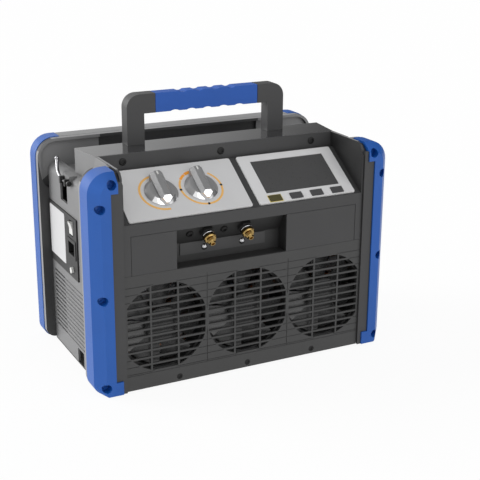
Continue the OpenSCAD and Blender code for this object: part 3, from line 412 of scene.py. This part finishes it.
# Front and rear frames, with painted highlights on the rims beside the guards, painted shade on the
# cheeks' inner sides and painted light on the rear wall beside the scoop
FRAME_EDGE = 0.6
SIDE_X = 212.5
FRONT_LIP_X = 176
FRONT_LIP_Y = (-84.4, -76.8)
FRONT_LIP_Z = 292.6
CHEEK_X = (170, 174.5)
CHEEK_TOP_Y = (-88, -36.5)
CHEEK_TOP_Z = 294
CONSOLE_Z = 225
REAR_LIP_Y = (89.6, 99.2)
REAR_LIP_Z = 293.4
SCOOP_X = 124
SCOOP_WALL_Y = (89, 97)
SCOOP_WALL_Z = 240


def between(span, value):
    """Whether a value lies inside a span."""
    return span[0] < value < span[1]


def front_rim_highlight(c, n):
    """The lip behind the front guards and the flat tops of the cheeks beside the console. Their light tone
    is a painted highlight for the light that falls on these upward faces.
    """
    beside_guard = abs(c.x) > SIDE_X or (c.z > FRONT_LIP_Z and abs(c.x) > FRONT_LIP_X)
    on_lip = between(FRONT_LIP_Y, c.y) and beside_guard
    on_top = n.z > 0.8 and c.z > CHEEK_TOP_Z and between(CHEEK_TOP_Y, c.y)
    return on_lip or (on_top and abs(c.x) > CHEEK_X[0])


def cheek_side_in_painted_shade(c, n):
    """The sides of the cheeks that look onto the console, painted near black as painted shade."""
    return abs(n.x) > 0.9 and between(CHEEK_X, abs(c.x)) and c.y < STRIP_Y and c.z > CONSOLE_Z


def rear_rim_highlight(c, n):
    """The lip before the rear guards, apart from its front faces. Its light tone is a painted highlight
    for the light that falls on it.
    """
    return between(REAR_LIP_Y, c.y) and n.y > -0.7 and (abs(c.x) > SIDE_X or c.z > REAR_LIP_Z)


def lit_wall_beside_scoop(c, n):
    """The front of the rear frame's upper edge, outside the scoop in its middle. These faces take the
    lighter cover tone as painted light; the scoop keeps the dark frame tone.
    """
    on_wall = n.y < -0.7 and between(SCOOP_WALL_Y, c.y) and c.z > SCOOP_WALL_Z
    return on_wall and abs(c.x) > SCOOP_X


front = softened("front_frame", width=FRAME_EDGE)
# Painted highlight: the front lips and the cheek tops take the light rim tone
mark_faces(front, "rim", front_rim_highlight)
# Painted shade: the cheeks' sides by the console take the near black recess tone
mark_faces(front, "recess", cheek_side_in_painted_shade)
# The splits at the scoop's ends give the painted light on the rear wall its edges
rear = softened("rear_frame", width=FRAME_EDGE, splits=(-SCOOP_X, SCOOP_X))
# Painted highlight: the rear lip takes the light rim tone, and its front faces stay dark
mark_faces(rear, "rim", rear_rim_highlight)
# Painted light: the rear wall beside the scoop takes the lighter cover tone
mark_faces(rear, "cover", lit_wall_beside_scoop)

# Bar on the rear frame, between the guards
RAIL_GAP = 0.4
RAIL_Y = (99.2, 123.2)
RAIL_Z = (290.5, 294.2)
rail_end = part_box("guard_rear_right")[0].x / MM - RAIL_GAP
rail = block("rear_top_rail", (-rail_end, rail_end), RAIL_Y, RAIL_Z)
inset_top(rail, rim=1.2, rise=0.3)
round_edges(rail, width=0.7)
# Painted highlight: the whole bar takes the light rim tone, for the light that falls on its top
paint(rail, "rim")
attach(rail, "case")

# The raised panel in the port recess and the saddles of the hook brackets match the case
RECESS_PANEL_Y = (-100, -99)
SADDLE_X = 201
mark_faces(nodes["port_tray"], "shell", lambda c, n: n.y < -0.9 and between(RECESS_PANEL_Y, c.y))
mark_faces(nodes["strap_hook_brackets"], "cover", lambda c, n: abs(c.x) < SADDLE_X)

# Top cover
WALL_END_Y = -36
WALL_IN_X = 180.9
WALL_OUT_X = 183.5
WALL_BEND_Z = 291
LEANING_OUT_X = 176.2
LEANING_IN_X = 175.6
LEANING_IN_Z = 290
GLOSS_FROM_Z = 294.5


def leaning_deck():
    """The top cover with its side walls leaning in beside the console, and a glossy top."""
    made = cad_copy("leaning_top_cover", "top_cover")
    bpy.ops.mesh.dissolve_limited(angle_limit=0.01)
    bpy.ops.mesh.select_all(action="SELECT")
    bpy.ops.mesh.bisect(plane_co=(0, WALL_END_Y * MM, 0), plane_no=(0, 1, 0))
    bpy.ops.object.mode_set(mode="OBJECT")
    for point in made.data.vertices:
        at = point.co / MM
        if at.y > WALL_END_Y + 0.1 or abs(at.x) < WALL_IN_X or at.z < WALL_BEND_Z:
            continue
        outer = abs(at.x) > WALL_OUT_X
        point.co.x = math.copysign(LEANING_OUT_X if outer else LEANING_IN_X, at.x) * MM
        point.co.z = (at.z if outer else LEANING_IN_Z) * MM
    mark_faces(made, "deck", lambda c, n: c.z > GLOSS_FROM_Z)
    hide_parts("top_cover")
    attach(made, "case")


leaning_deck()

# Console plates
softened("valve_panel", width=0.5)
softened("display_panel", width=0.5)

# Valve knobs, each a turned disc with a wedge grip, a tick on its end and a set screw beside it
KNOB_DISC = [(21.9, 0), (22.3, 0.3), (22.3, 0.8), (17.2, 5.9), (16.4, 6.2), (12, 6.1), (5, 6.0)]
KNOB_BEVEL_R = 16.8
SET_SCREW = [(2.6, 5.9), (2.6, 6.6), (2.2, 6.9), (1.4, 6.9), (1.2, 6.5)]
BAR_TOP = 13


def knob_disc():
    """A disc with a wide bevel and a painted reflection: the bevel's faces that look down the slope take
    the bright finish.
    """
    disc = turned("knob disc", KNOB_DISC)
    paint(disc, "knob")
    # Painted reflection on the bevel faces that look down the slope
    mark_faces(disc, "bright", lambda c, n: math.hypot(c.x, c.y) > KNOB_BEVEL_R and n.y < -0.45)
    smooth(disc, angle=40)
    return disc


def knob_bar():
    """A bar with leaning flanks that narrows down the slope, its lower end cut to a face with a painted
    reflection in the bright finish.
    """
    bar = block("knob bar", (-9, 9), (-23, 26), (0.6, BAR_TOP))
    for way in (-1, 1):
        cut(bar, (way * 4.0, 0, BAR_TOP), (way * 9.5, 0, 3.2))
        cut(bar, (way * 4.2, -21, 0), (way * 12, -2.8, 0))
    cut(bar, (0, -16, BAR_TOP), (0, -12.2, 7))
    cut(bar, (0, 26, 5), (0, 5, -6))
    paint(bar, "knob")
    # Painted reflection on the bar's lower end face
    mark_faces(bar, "bright", lambda c, n: n.y < -0.7)
    round_edges(bar, width=0.4)
    return bar


def knob_tick():
    """A white line along the upper end of the bar."""
    tick = block("knob tick", (-0.9, 0.9), (19.5, 25.0), (BAR_TOP - 0.1, BAR_TOP + 0.15))
    inset_top(tick, rim=0.15, rise=0.08)
    paint(tick, "white_plastic")
    return tick


def knob_set_screw():
    """A small screw in the disc, beside the bar."""
    screw = turned("knob set screw", SET_SCREW, sides=24)
    paint(screw, "dark_steel")
    return settle(screw, moved(7.6, 12, 0))


knob = join_up("knob", [knob_disc(), knob_bar(), knob_tick(), knob_set_screw()])
knob_seats = [valve_place(valve, KNOB_SEAT) for valve in VALVES]
for valve, shown in zip(VALVES, copies(knob, knob_seats)):
    name = valve + "_knob"
    shown.name = "turned_" + name
    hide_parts(name)
    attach(shown, name)

# Printed rings round the knobs, and marks on the outlet's ring
PRINT_RISE = 0.12
MARK_DISC = [(1.8, 0), (1.8, 0.14), (1.44, 0.18)]
MARK_RING_R = 28.5


def printed_arc(start, end, inner, outer):
    """A raised strip between two radii, from one angle in degrees round to another."""
    clear()
    bpy.ops.mesh.primitive_circle_add(vertices=180, radius=inner * MM, fill_type="NOTHING")
    arc = bpy.context.object

    def outside(c):
        return (math.degrees(math.atan2(c.y, c.x)) - start) % 360 > end - start

    choose(arc, "VERT", outside)
    bpy.ops.mesh.delete(type="VERT")
    bpy.ops.mesh.select_all(action="SELECT")
    bpy.ops.mesh.extrude_edges_move(TRANSFORM_OT_translate={"value": (0, 0, 0)})
    bpy.ops.transform.resize(value=(outer / inner, outer / inner, 1), center_override=(0, 0, 0))
    bpy.ops.mesh.select_all(action="SELECT")
    bpy.ops.mesh.extrude_region_move(TRANSFORM_OT_translate={"value": (0, 0, PRINT_RISE * MM)})
    bpy.ops.object.mode_set(mode="OBJECT")
    outward(arc)
    return arc


def printed_ring(name, valve, arcs, tone):
    """Arcs printed on the valve plate round a knob."""
    ring = join_up(name, [printed_arc(*arc) for arc in arcs])
    paint(ring, tone)
    settle(ring, valve_place(valve, PLATE_TOP))
    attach(ring, "case")


printed_ring("inlet_ring", "inlet", [(90, 278, 27.0, 30.0)], "orange")
printed_ring("outlet_ring", "outlet", [(145, 414, 27.1, 29.9)], "orange")
printed_ring("outlet_ring_start", "outlet", [(91, 122, 26.4, 30.8), (122, 145, 26.8, 30.3)], "deep_orange")

outlet_axis = valve_place("outlet", PLATE_TOP)
mark_spots = ((-MARK_RING_R, 0), (0, -MARK_RING_R), (MARK_RING_R, 0))
mark_places = [outlet_axis @ moved(x, up, 0) for x, up in mark_spots]
marks = join_up("outlet_marks", copies(turned("mark", MARK_DISC, sides=20), mark_places))
paint(marks, "dark_steel")
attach(marks, "case")

# Flare ports, each with a bright foot ring, a barrel, thread rings and a seat with a bore
FOOT_Z = (5, 8.9)
PORT_FOOT = [(7.2, 5), (8.3, 5.4), (8.5, 6), (8.5, 8.2), (8.1, 8.7)]
PORT_BARREL = [(8.1, 9.1), (8.5, 9.6), (8.5, 14.0), (7.2, 15.4), (5.2, 15.6), (4.6, 15.8)]
THREAD_FOOT = 16.0
THREAD_PITCH = 0.62
THREAD_TURNS = 7
THREAD_TURN = ((4.6, 0.0), (5.1, 0.3))
PORT_SEAT = [(4.6, 20.5), (4.0, 20.9), (3.2, 23.2), (2.4, 23.2), (2.2, 21)]
PORT_TAIL = [(4.6, -9), (5, -8.6), (5, 5.2)]


def flare_port():
    """A port along Z, the wall of the recess at its origin."""
    thread = [
        (r, THREAD_FOOT + i * THREAD_PITCH + rise)
        for i in range(THREAD_TURNS) for r, rise in THREAD_TURN
    ]
    body = turned("port body", PORT_FOOT + PORT_BARREL + thread + PORT_SEAT, sides=40)
    tail = turned("port tail", PORT_TAIL, sides=32)
    made = join_up("port", [body, tail])
    paint(made, "brass")
    mark_faces(made, "nut", lambda c, n: between(FOOT_Z, c.z))
    smooth(made, angle=30)
    return made


port_places = [port_place(mounts[valve + "_port"]["pos_m"][0] / MM) for valve in VALVES]
for valve, shown in zip(VALVES, copies(flare_port(), port_places)):
    name = valve + "_port_fitting"
    shown.name = "turned_" + name
    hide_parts(name)
    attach(shown, "case")

# Socket head screws
SHANK_R = 1.75
FRONT_HEAD_R = 5
STRIP_SCREW_XS = (-140, 0, 140)
STRIP_SCREW_Z = 285
GRILLE_SCREW_XS = (-100, 0, 100)
GRILLE_SEAT_Y = -118.5
GRILLE_SCREW_Z = 10
RECESS_SCREW_XS = (-77.65, -28.7)
GUARD_SEAT_Y = -112
GUARD_SCREWS = ((188, 281), (203, 252), (203, 134), (202, 15))


def cap_screw(head_r=3.8, head_h=1.6, shank=5.0):
    """A button head with a socket, its seat at the origin and its head along Z."""
    stem = [(SHANK_R, -shank), (SHANK_R, 0)]
    crown = [(1, 0), (1, 0.45), (0.86, 0.85), (0.62, 1)]
    socket = [(0.5, 1), (0.46, 0.35)]
    head = [(r * head_r, z * head_h) for r, z in crown + socket]
    screw = turned("screw", stem + head, sides=24)
    smooth(screw)
    return screw


strip_places = [facing(x, STRIP_Y, STRIP_SCREW_Z) for x in STRIP_SCREW_XS]
grille_places = [facing(x, GRILLE_SEAT_Y, GRILLE_SCREW_Z) for x in GRILLE_SCREW_XS]
recess_places = [port_place(x) for x in RECESS_SCREW_XS]
front_set = copies(cap_screw(FRONT_HEAD_R), strip_places)
front_set += copies(cap_screw(FRONT_HEAD_R, head_h=1.4), grille_places)
front_set += copies(cap_screw(FRONT_HEAD_R, head_h=2.6, shank=3), recess_places)
shown = join_up("front_screw_set", front_set)
paint(shown, "dark_steel")
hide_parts("front_screws")
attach(shown, "case")

corner_places = [
    facing(side * x, GUARD_SEAT_Y, z, yaw)
    for yaw in (0, 180) for side in (-1, 1) for x, z in GUARD_SCREWS
]
shown = join_up("corner_screw_set", copies(cap_screw(head_h=1.9, shank=9.5), corner_places))
paint(shown, "guard")
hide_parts("guard_screws")
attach(shown, "case")

# Strap hooks of bent wire with a black end cap. Points go in towards the case, back and up from the hinge.
HOOK_WIRE = ((0, -11, 0), (0, 9, 0), (0.1, 22, 1.5), (0.7, 33, 6.5), (2.5, 40.5, 14.5), (3.7, 44, 19.5))
HOOK_WIRE_R = 2.2
HOOK_TIP_AT = (3.9, 44.6, 20.4)
HOOK_TIP = [(1.8, -3.2), (2.9, -1.6), (3.2, 0), (2.9, 1.6), (1.8, 3.2)]
HOOK_CAP = [(2.8, -0.6), (3.4, 0), (3.4, 3.2), (2.9, 3.9), (1.6, 4.1)]


def strap_hook(name, side):
    """A hook on its hinge, on the left side of the machine at -1 and on the right at 1."""
    hinge = Vector(joints[name + "_swing"]["pos_m"]) / MM

    def from_hinge(inward, back, up):
        return hinge + Vector((-side * inward, back, up))

    clear()
    bpy.ops.curve.primitive_bezier_curve_add()
    wire = bpy.context.object
    wire.data.dimensions = "3D"
    spline = wire.data.splines[0]
    spline.bezier_points.add(len(HOOK_WIRE) - 2)
    for knot, point in zip(spline.bezier_points, HOOK_WIRE):
        knot.co = from_hinge(*point) * MM
        knot.handle_left_type = "AUTO"
        knot.handle_right_type = "AUTO"
    wire.data.bevel_depth = HOOK_WIRE_R * MM
    wire.data.bevel_resolution = 5
    wire.data.use_fill_caps = True
    bpy.ops.object.convert(target="MESH")
    wire = bpy.context.object
    paint(wire, "chrome")
    smooth(wire, angle=60)
    tip = turned("hook tip", HOOK_TIP, sides=24)
    paint(tip, "chrome")
    smooth(tip, angle=80)
    settle(tip, moved(*from_hinge(*HOOK_TIP_AT)))
    cap = turned("hook cap", HOOK_CAP, sides=28)
    paint(cap, "black_plastic")
    smooth(cap, angle=40)
    settle(cap, facing(*from_hinge(*HOOK_WIRE[0])))
    return settle(join_up("bent_" + name, [wire, tip, cap]))


for name, side in (("strap_hook_left", -1), ("strap_hook_right", 1)):
    shown = strap_hook(name, side)
    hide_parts(name)
    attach(shown, name)

# Bare label field on the power panel
LABEL_RISE = 0.25
LABEL_Y = (22, 84)
LABEL_Z = (137, 207)
LABEL_CORNER = 2
panel_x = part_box("power_panel")[0].x / MM
label = block("power_label", (panel_x - LABEL_RISE, panel_x), LABEL_Y, LABEL_Z)
choose(label, "EDGE", lambda c, d: abs(d.x) > 0.5 * d.length)
bpy.ops.mesh.bevel(offset=LABEL_CORNER * MM, segments=3)
bpy.ops.object.mode_set(mode="OBJECT")
paint(label, "plate")
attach(label, "case")

# Gold frame printed round the first button
FRAME_MARGIN = 0.4
FRAME_UP = (-41.1, -28.9)
FRAME_LINE = 0.9
FRAME_RISE = 0.25
menu_low, menu_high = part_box("button_menu")
frame_xs = (menu_low.x / MM - FRAME_MARGIN, menu_high.x / MM + FRAME_MARGIN)
frame_ring = block("button_frame", frame_xs, FRAME_UP, (PLATE_TOP, PLATE_TOP + FRAME_RISE))
choose(frame_ring, "FACE", facing_up)
bpy.ops.mesh.inset(thickness=FRAME_LINE * MM)
bpy.ops.mesh.delete(type="FACE")
choose(frame_ring, "FACE", facing_down)
bpy.ops.mesh.delete(type="FACE")
bpy.ops.object.mode_set(mode="OBJECT")
paint(frame_ring, "gold")
settle(frame_ring, console_middle())
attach(frame_ring, "case")


# Stage and light
WHITE = (1, 1, 1, 1)
FLOOR_GLOW = 0.93
SKY_LIGHT = 0.6
DARK_SIDE = math.radians(75)
DARK_SPREAD = math.radians(42)
LIT_SPREAD = math.radians(58)
DARK_LEVEL = 0.1


def maths(tree, operation, *values):
    """The output of a maths node that works on numbers and on other nodes' outputs."""
    made = tree.nodes.new("ShaderNodeMath")
    made.operation = operation
    for slot, value in zip(made.inputs, values):
        if isinstance(value, float):
            slot.default_value = value
        else:
            tree.links.new(value, slot)
    return made.outputs[0]


def mixed(tree, share, first, second):
    """The output of a mix of two shaders."""
    made = tree.nodes.new("ShaderNodeMixShader")
    for slot, source in zip(made.inputs, (share, first.outputs[0], second.outputs[0])):
        tree.links.new(source, slot)
    return made.outputs[0]


def pale_floor():
    """A matt floor that looks nearly white to the camera and in reflections."""
    made = bpy.data.materials.new("pale floor")
    made.use_nodes = True
    tree = made.node_tree
    matt = tree.nodes["Principled BSDF"]
    matt.inputs["Base Color"].default_value = (0.9, 0.9, 0.9, 1)
    matt.inputs["Roughness"].default_value = 0.9
    matt.inputs["Specular IOR Level"].default_value = 0.0
    glow = tree.nodes.new("ShaderNodeEmission")
    glow.inputs["Strength"].default_value = 1.0
    ray = tree.nodes.new("ShaderNodeLightPath").outputs
    seen = maths(tree, "MAXIMUM", ray["Is Camera Ray"], ray["Is Glossy Ray"])
    surface = mixed(tree, maths(tree, "MULTIPLY", seen, FLOOR_GLOW), matt, glow)
    tree.links.new(surface, tree.nodes["Material Output"].inputs["Surface"])
    return made


clear()
bpy.ops.mesh.primitive_plane_add(size=12, location=(0, 0, 0))
floor = bpy.context.object
floor.name = "floor"
floor.data.materials.append(pale_floor())


def white_studio():
    """Even light, white to the camera and in reflections, apart from a dark right side in reflections."""
    made = bpy.data.worlds.new("studio")
    made.use_nodes = True
    tree = made.node_tree
    tree.nodes.clear()
    light_sky = tree.nodes.new("ShaderNodeBackground")
    light_sky.inputs["Color"].default_value = WHITE
    light_sky.inputs["Strength"].default_value = SKY_LIGHT
    white_sky = tree.nodes.new("ShaderNodeBackground")
    white_sky.inputs["Color"].default_value = WHITE
    ray = tree.nodes.new("ShaderNodeLightPath").outputs
    around = tree.nodes.new("ShaderNodeTexCoord")
    axes = tree.nodes.new("ShaderNodeSeparateXYZ")
    tree.links.new(around.outputs["Generated"], axes.inputs[0])
    bearing = maths(tree, "ARCTAN2", axes.outputs["X"], axes.outputs["Y"])
    fade = tree.nodes.new("ShaderNodeMapRange")
    fade.inputs["From Min"].default_value = DARK_SPREAD
    fade.inputs["From Max"].default_value = LIT_SPREAD
    fade.inputs["To Min"].default_value = DARK_LEVEL
    fade.inputs["To Max"].default_value = 1.0
    from_dark = maths(tree, "ABSOLUTE", maths(tree, "SUBTRACT", bearing, DARK_SIDE))
    tree.links.new(from_dark, fade.inputs["Value"])
    direct = maths(tree, "SUBTRACT", 1.0, ray["Is Glossy Ray"])
    level = maths(tree, "MAXIMUM", direct, fade.outputs["Result"])
    tree.links.new(level, white_sky.inputs["Strength"])
    seen = maths(tree, "MAXIMUM", ray["Is Camera Ray"], ray["Is Glossy Ray"])
    seen = maths(tree, "MAXIMUM", seen, ray["Is Transmission Ray"])
    surface = tree.nodes.new("ShaderNodeOutputWorld").inputs["Surface"]
    tree.links.new(mixed(tree, seen, light_sky, white_sky), surface)
    return made


bpy.context.scene.world = white_studio()


def sun(name, toward, strength, spread):
    """A soft lamp that shines from a direction."""
    clear()
    bpy.ops.object.light_add(type="SUN", location=Vector(toward) * 3)
    lamp = bpy.context.object
    lamp.name = name
    lamp.data.energy = strength
    lamp.data.angle = math.radians(spread)
    lamp.rotation_euler = Vector(toward).to_track_quat("Z", "Y").to_euler()


sun("left light", (-0.74, 0.56, 0.36), strength=2.4, spread=40)
sun("front light", (0.15, -0.85, 0.45), strength=0.9, spread=60)

# Camera, placed in metres
CAMERA_AT = (-0.61945, -1.29891, 0.62856)
CAMERA_TURN = math.radians(27.237)
CAMERA_RISE = math.radians(18.465)
CAMERA_ROLL = math.radians(0.419)
CAMERA_LENS = 80.84

clear()
bpy.ops.object.camera_add()
camera = bpy.context.object
level_back = Vector((-math.sin(CAMERA_TURN), -math.cos(CAMERA_TURN), 0))
back = level_back * math.cos(CAMERA_RISE) + Vector((0, 0, math.sin(CAMERA_RISE)))
right = (-back).cross(Vector((0, 0, 1))).normalized()
up = right.cross(-back)
rolled_right = right * math.cos(CAMERA_ROLL) + up * math.sin(CAMERA_ROLL)
rolled_up = up * math.cos(CAMERA_ROLL) - right * math.sin(CAMERA_ROLL)
look = Matrix((rolled_right, rolled_up, back)).transposed().to_4x4()
camera.matrix_world = Matrix.Translation(CAMERA_AT) @ look
camera.data.sensor_width = 36
camera.data.lens = CAMERA_LENS
camera.data.dof.use_dof = False
bpy.context.scene.camera = camera
bpy.context.scene.view_settings.view_transform = "Standard"
